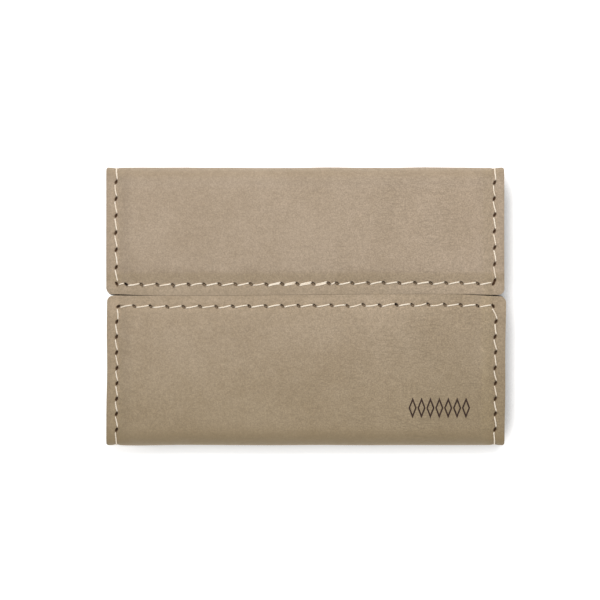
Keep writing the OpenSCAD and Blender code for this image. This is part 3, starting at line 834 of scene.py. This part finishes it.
def leather_material(name, light, dark, seed_shift, fold_shade_share, tints):
    """Brushed leather: fine grain, soft mottling, and fine diagonal creases, more on the right.
    The creases, the stitching holes and the fold are darkened in colour: painted shade.
    Each tint is a stretch along x or y, in millimetres: where it comes in, where it goes out, or
    None if it doesn't, and the colour that the leather is multiplied by there. Most tints paint
    light and shade onto the slopes, margins and folds."""
    s = Shader(name, 0.72, Specular_IOR_Level=0.32, Sheen_Weight=0.12, Sheen_Roughness=0.5)
    moved = s.node("ShaderNodeMapping", Vector=s.mm, Location=(seed_shift, -seed_shift, 0)).outputs[0]
    mottle = s.noise(0.075, 4.0, 0.6, moved)
    cloud = s.noise(0.5, 5.0, 0.65, moved)
    grain = s.noise(2.9, 5.0, 0.75, moved)
    pebble = s.noise(1.5, 3.0, 0.6, moved, 0.4)
    cells = s.node("ShaderNodeTexVoronoi", Vector=moved, Scale=2.6).outputs["Distance"]
    pores = s.spread(cells, 0.08, 0.3)
    slanted = s.mapped(moved, scale=(0.32, 1.5, 1.0), turn=(0, 0, math.radians(38)))
    bent = s.mix(0.12, slanted, s.node("ShaderNodeTexNoise", Vector=moved, Scale=0.35).outputs["Color"])
    crease = s.spread(s.cracks(0.75, bent), 0.0, 0.09)
    place = s.node("ShaderNodeSeparateXYZ", Vector=s.mm).outputs
    to_right = s.spread(place["X"], -25.0, 40.0, 0.15, 1.0)
    patchy = s.spread(s.noise(0.11, 3.0, 0.5, moved), 0.42, 0.62)
    creased = s.product(s.rest(crease), s.product(patchy, to_right))
    tone = s.math("ADD", s.product(mottle, 0.5), s.product(cloud, 0.5))
    colour = s.mix(s.spread(tone, 0.34, 0.66), dark, light)
    fleck = s.product(s.spread(grain, 0.34, 0.66, 0.87, 1.13), s.spread(pebble, 0.34, 0.66, 0.93, 1.07))
    strong = s.product(fleck, s.spread(grain, 0.34, 0.66, 0.93, 1.07))
    colour = s.tinted(colour, s.mix(to_right, fleck, strong))
    colour = s.mix(s.product(s.rest(pores), 0.22), colour, dark)
    for axis, comes_in, goes_out, tint in tints:
        share = s.spread(place[axis], *comes_in)
        if goes_out:
            share = s.product(share, s.rest(s.spread(place[axis], *goes_out)))
        colour = s.tinted(colour, s.mix(share, WHITE, (*tint, 1)))
    deep = tuple(v * 0.72 for v in dark[:3]) + (1.0,)
    fold_shade = tuple(v * share for v, share in zip(dark[:3], (0.86, 0.84, 0.74))) + (1.0,)
    # Painted shade: the creases are darkened in colour, besides their bump.
    colour = s.mix(s.product(creased, 0.3), colour, deep)
    colour = s.mix(s.product(s.mark("worn"), 0.1), colour, deep)
    # Painted shade: darker and yellower towards the fold, most on the body.
    colour = s.mix(s.product(s.mark("bend"), fold_shade_share), colour, fold_shade)
    # Painted shade in the stitching holes, darker in the rows than in the side seams.
    at_side = s.spread(s.math("ABSOLUTE", place["X"]), 46.6, 46.8)
    hole_shade = s.mix(at_side, srgb(40, 24, 13), srgb(84, 58, 36))
    colour = s.mix(s.mark("pit"), colour, hole_shade)
    colour = s.mix(s.mark("rim"), colour, srgb(138, 120, 98))
    colour = s.mix(s.mark("flesh"), colour, srgb(150, 128, 104))
    height = s.math("ADD", s.product(grain, 0.6), s.product(pores, 0.4))
    height = s.math("ADD", height, s.product(pebble, 0.6))
    height = s.math("SUBTRACT", height, s.product(creased, 0.9))
    normal = s.bump(height, 0.00006, 0.85)
    normal = s.bump(cloud, 0.00025, 0.35, normal)
    return s.finish(colour, normal, s.spread(cloud, 0.3, 0.7, 0.62, 0.8))


def edge_material():
    """Burnished cut edge: smooth, a little glossy, with fine lengthwise streaks."""
    s = Shader("burnished_edge", 0.5, Specular_IOR_Level=0.4)
    streaks = s.noise(1.0, 4.0, 0.6, s.mapped(s.mm, scale=(3.0, 0.3, 6.0)))
    colour = s.mix(s.spread(streaks, 0.35, 0.65), srgb(112, 92, 70), srgb(150, 128, 102))
    return s.finish(colour, s.bump(streaks, 0.00006, 0.5), s.spread(streaks, 0.3, 0.7, 0.42, 0.6))


def sleeve_material():
    """Smooth brown leather with a fine pebble."""
    s = Shader("sleeve_leather", 0.5, Specular_IOR_Level=0.4)
    pebble = s.spread(s.cracks(2.2), 0.0, 0.35)
    cloud = s.noise(0.18, 4.0, 0.6)
    colour = s.mix(s.spread(cloud, 0.35, 0.65), srgb(118, 88, 62), srgb(142, 110, 80))
    colour = s.mix(s.product(s.rest(pebble), 0.35), colour, srgb(86, 60, 40))
    return s.finish(colour, s.bump(pebble, 0.00006, 0.6), s.spread(cloud, 0.3, 0.7, 0.42, 0.58))


def lining_material():
    """A fine woven lining: two sets of yarns that pass over and under each other."""
    s = Shader("woven_lining", 0.85, Specular_IOR_Level=0.2, Sheen_Weight=0.2)
    yarns_per_mm = 2.4
    place = s.node("ShaderNodeSeparateXYZ", Vector=s.mm).outputs
    waves = [s.math("SINE", s.product(place[axis], math.pi * yarns_per_mm)) for axis in "XY"]
    warp, weft = (s.math("ABSOLUTE", wave) for wave in waves)
    up = s.spread(s.product(*waves), -0.12, 0.12)
    height = s.math("ADD", s.product(warp, up), s.product(weft, s.rest(up)))
    colour = s.mix(s.spread(height, 0.1, 0.9), srgb(92, 78, 62), srgb(148, 130, 108))
    colour = s.mix(s.product(s.noise(0.3, 3.0), 0.35), colour, srgb(120, 102, 82))
    return s.finish(colour, s.bump(height, 0.00008, 0.8))


def felt_material():
    """Pressed felt: short fibres in every direction."""
    s = Shader("pad_felt", 0.95, Specular_IOR_Level=0.1, Sheen_Weight=0.4)
    fibres = s.noise(2.5, 6.0, 0.75, s.mapped(s.mm, scale=(1.0, 2.2, 1.0)), 1.5)
    colour = s.mix(s.spread(fibres, 0.3, 0.7), srgb(196, 188, 174), srgb(226, 220, 208))
    return s.finish(colour, s.bump(fibres, 0.0002, 0.8))


def board_material():
    """Grey pressed board with flecks."""
    s = Shader("pressed_board", 0.85, Specular_IOR_Level=0.2)
    flecks = s.noise(1.6, 5.0, 0.7)
    colour = s.mix(s.spread(flecks, 0.35, 0.65), srgb(118, 108, 94), srgb(158, 148, 132))
    return s.finish(colour, s.bump(flecks, 0.00008, 0.6))


def thread_material():
    """Waxed cream thread with fine fibres."""
    s = Shader("waxed_thread", 0.55, Specular_IOR_Level=0.35, Sheen_Weight=0.15)
    fibres = s.noise(4.0, 5.0, 0.7, None, 0.6)
    long_tone = s.noise(0.25, 2.0)
    colour = s.mix(s.spread(fibres, 0.3, 0.7), srgb(226, 208, 184), srgb(252, 242, 226))
    colour = s.mix(s.spread(long_tone, 0.45, 0.7, 0.0, 0.3), colour, srgb(214, 190, 160))
    return s.finish(colour, s.bump(fibres, 0.00006, 0.7))


def ink_material():
    """Dark printing ink that lets a little of the grain through."""
    s = Shader("dark_ink", 0.6, Specular_IOR_Level=0.3)
    wear = s.noise(3.2, 4.0, 0.7)
    colour = s.mix(s.spread(wear, 0.45, 0.75), srgb(54, 38, 31), srgb(88, 68, 54))
    return s.finish(colour, s.bump(wear, 0.00003, 0.6))


def floor_material():
    """White paper that glows a little, with a painted shadow close to the object on its lower right:
    an occlusion test aimed to the upper left darkens the paper's colour and glow there."""
    s = Shader("white_floor", 0.9, Specular_IOR_Level=0.1, Emission_Color=WHITE)
    # Painted shadow: the direction that the occlusion test looks in.
    window = s.node("ShaderNodeCombineXYZ", X=-0.8, Y=0.25, Z=0.55).outputs[0]
    open_sky = s.node("ShaderNodeAmbientOcclusion", {"samples": 16}, Distance=0.009, Normal=window)
    shade = s.spread(open_sky.outputs["AO"], 0.22, 0.78, 0.22, 1.0)
    s.feed(s.bsdf.inputs["Emission Strength"], s.product(shade, 0.6))
    paper = s.mix(s.noise(0.01), (0.92, 0.92, 0.92, 1), (0.94, 0.94, 0.94, 1))
    return s.finish(s.tinted(paper, shade), s.bump(s.noise(0.05), 0.00002, 0.1))


# ---- the object ----

# Most of these tints paint light and shade onto the slopes, margins and folds.
LEFT_SLOPES_PAINTED_LIGHT = ("X", (-49.5, -48.3), (-46.6, -45.2), (1.05, 1.05, 1.04))    # painted light: the left slopes made paler, both pouches
LID_TINTS = (
    LEFT_SLOPES_PAINTED_LIGHT,
    ("X", (43.9, 45.2), (46.6, 47.6), (1.03, 1.03, 1.0)),     # painted light on the right slope
    ("X", (18, 34), None, (1.045, 1.045, 1.055)),               # the right third
    ("Y", (-6, -5), (5.4, 6.8), (0.985, 0.985, 0.955)),         # the margin at the mouth
    ("Y", (5.4, 6.8), (7.7, 9.3), (0.9, 0.89, 0.83)),           # painted shade on the slope behind the seam
    ("Y", (28.5, 31), (31.8, 33.6), (1.025, 1.035, 1.06)),      # painted light where the fold begins
    ("Y", (31.8, 33.6), None, (0.979, 0.978, 0.97)),            # painted shade on the fold
)
BODY_TINTS = (
    LEFT_SLOPES_PAINTED_LIGHT,
    ("X", (43.5, 44.9), (46.6, 47.6), (1.1, 1.1, 1.06)),        # painted light on the right slope
    ("X", (18, 34), None, (0.945, 0.945, 0.93)),                # the right third
    ("Y", (-34, 0), None, (1.128, 1.138, 1.25)),                # painted light fall-off: paler from the fold to the mouth
    ("Y", (-2.5, 0.5), None, (1.08, 1.08, 1.085)),              # painted light on the margin at the mouth
)
# The body's copy is darker and warmer than the lid's: painted shade, for the dimmer light on the body.
lid_leather = leather_material("lid_leather_finish", srgb(167, 149, 129), srgb(156, 138, 117), 0,
                               0.3, LID_TINTS)
body_leather = leather_material("body_leather_finish", srgb(158.5, 140.7, 115), srgb(147, 129, 102.7),
                                57, 0.75, BODY_TINTS)
edge, lining, felt = edge_material(), lining_material(), felt_material()
sleeve, board, cream, ink = sleeve_material(), board_material(), thread_material(), ink_material()


def add(piece, body_name, slot, *nodes):
    """Fixes a piece to its body and hides the CAD nodes that it stands for. slot is not used."""
    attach(piece, body_name)
    if nodes:
        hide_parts(*nodes)
    return piece


for pouch, finish in ((lid, lid_leather), (body, body_leather)):
    n = pouch.name
    add(pouch_leather(pouch, finish), n, "leather", f"{n}_leather")
    for face, zone in (("front", FRONT), ("back", BACK)):
        doubled = DOUBLED if pouch is lid and zone == FRONT else ()
        seam = mouth_thread(pouch, zone, doubled).finish(f"{n}_mouth_stitches_{face}", cream)
        add(seam, n, "thread", f"{n}_mouth_thread_{face}")
        pad = felt_pad(pouch, f"{n}_pad_{face}", f"{n}_felt_{face}", felt)
        add(pad, n, "pad", f"{n}_pad_{face}")
    for hand, side in (("left", -1), ("right", 1)):
        seam = side_thread(pouch, side).finish(f"{n}_side_stitches_{hand}", cream)
        add(seam, n, "thread", f"{n}_side_thread_{hand}")
        add(side_strip(pouch, f"{n}_spacer_{hand}", f"{n}_strip_{hand}", edge), n, "edge",
            f"{n}_spacer_{hand}")

lining_piece = lining_sheet(lid, "lid_lining", "lid_lining_cloth", lining)
add(lining_piece, "lid", "lining", "lid_lining")

for face in ("front", "back"):
    add(sleeve_wall(f"sleeve_{face}", f"sleeve_wall_{face}", sleeve), "body", "sleeve", f"sleeve_{face}")
for part in ("side_left", "side_right", "floor"):
    low, high = span(f"sleeve_{part}")
    strip = plate(f"sleeve_strip_{part}", corners_of(low, high, (0.3 * MM,) * 4),
                  rounded(low[2], high[2], 0.1 * MM), sleeve)
    add(strip, "body", "sleeve", f"sleeve_{part}")
for face in ("front", "back"):
    node = bpy.data.objects[f"body_board_{face}"]
    node.data.materials.clear()
    node.data.materials.append(board)
add(print_band(body, "body_print", ink), "body", None)

# ---- floor, light and camera ----

bpy.ops.mesh.primitive_plane_add(size=6, location=(0, 0, -0.0001))
floor = bpy.context.object
floor.name = "floor"
floor.data.materials.append(floor_material())

world = bpy.data.worlds.new("studio")
bpy.context.scene.world = world
world.use_nodes = True
background = next(n for n in world.node_tree.nodes if n.type == "BACKGROUND")
background.inputs["Color"].default_value = (0.94, 0.97, 1.0, 1.0)
background.inputs["Strength"].default_value = 0.45


def soft_light(name, place, aim, size, watts, colour=(1, 1, 1)):
    """A rectangular lamp of this size at a place, facing what it aims at."""
    light = bpy.data.lights.new(name, "AREA")
    light.shape, light.size, light.size_y = "RECTANGLE", size[0], size[1]
    light.energy, light.color = watts, colour
    lamp = bpy.data.objects.new(name, light)
    bpy.context.scene.collection.objects.link(lamp)
    lamp.location = place
    lamp.rotation_euler = (Vector(aim) - Vector(place)).to_track_quat("-Z", "Y").to_euler()
    lamp.visible_camera = False


soft_light("window", (0, 0.10, 0.2), (0, 0.02, 0), (0.4, 0.1), 0.51, (1.0, 0.98, 0.95))
soft_light("low_fill", (0.05, -0.6, 0.09), (0, -0.02, 0), (0.6, 0.12), 0.81)

LENS, SENSOR = 200, 36  # in millimetres, as a camera states them
VIEW_WIDTH = 150.4 * MM  # what the frame takes in, at the height of the object's front
camera_data = bpy.data.cameras.new("camera")
camera_data.lens, camera_data.sensor_width = LENS, SENSOR
camera_data.clip_start, camera_data.clip_end = 0.01, 100
camera = bpy.data.objects.new("camera", camera_data)
bpy.context.scene.collection.objects.link(camera)
camera.location = (-1.33 * MM, 1.6 * MM, lid_high[2] + VIEW_WIDTH * LENS / SENSOR)
bpy.context.scene.camera = camera
bpy.context.scene.view_settings.view_transform = "Standard"

bpy.context.view_layer.update()
